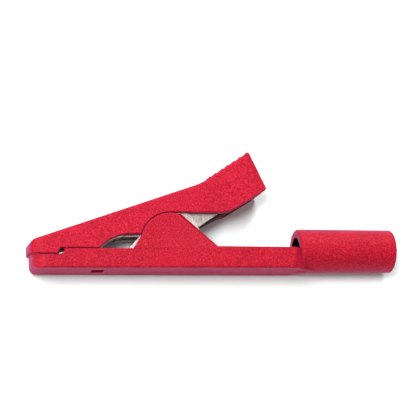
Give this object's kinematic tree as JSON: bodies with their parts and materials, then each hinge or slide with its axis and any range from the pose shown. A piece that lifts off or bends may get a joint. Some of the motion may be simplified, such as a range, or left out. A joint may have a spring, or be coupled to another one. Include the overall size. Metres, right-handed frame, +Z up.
{
  "type": "alligator clip",
  "caption": "Insulated alligator clip: sprung jaws in hinged plastic covers, with a rigid 4 mm socket barrel behind the handle.",
  "frame": {"origin": "middle of the clip's box in plan, on the surface it lies on", "axes": "+X from the jaw tips to the socket mouth, +Y the way the upper jaw opens, +Z up, across the clip, as it lies on its side"},
  "size_m": [0.0828, 0.0262, 0.0097],
  "materials": {
    "red_plastic_body": "spark-eroded satin red polyamide",
    "red_plastic_lever": "spark-eroded satin red polyamide",
    "nickel_jaw": "dull nickel-plated steel sheet",
    "steel_pin": "plated steel",
    "spring_wire": "drawn spring wire",
    "nickel_sleeve": "nickel-plated turned brass"
  },
  "bodies": {
    "body": {"lower_cover": "red_plastic_body", "lower_jaw": "nickel_jaw", "pivot_pin": "steel_pin", "torsion_spring": "spring_wire", "socket_sleeve": "nickel_sleeve", "tail_rivet": "steel_pin"},
    "lever": {"upper_cover": "red_plastic_lever", "upper_jaw": "nickel_jaw"}
  },
  "joints": [
    {"name": "jaw_hinge", "type": "hinge", "parent": "body", "child": "lever", "pos_m": [-0.01028, -0.00767, 0.00486], "axis": [0, 0, -1], "range_deg": [0, 28], "stiffness_Nm_per_rad": 0.2, "springref_deg": -28.65, "deforming": ["torsion_spring"]}
  ]
}
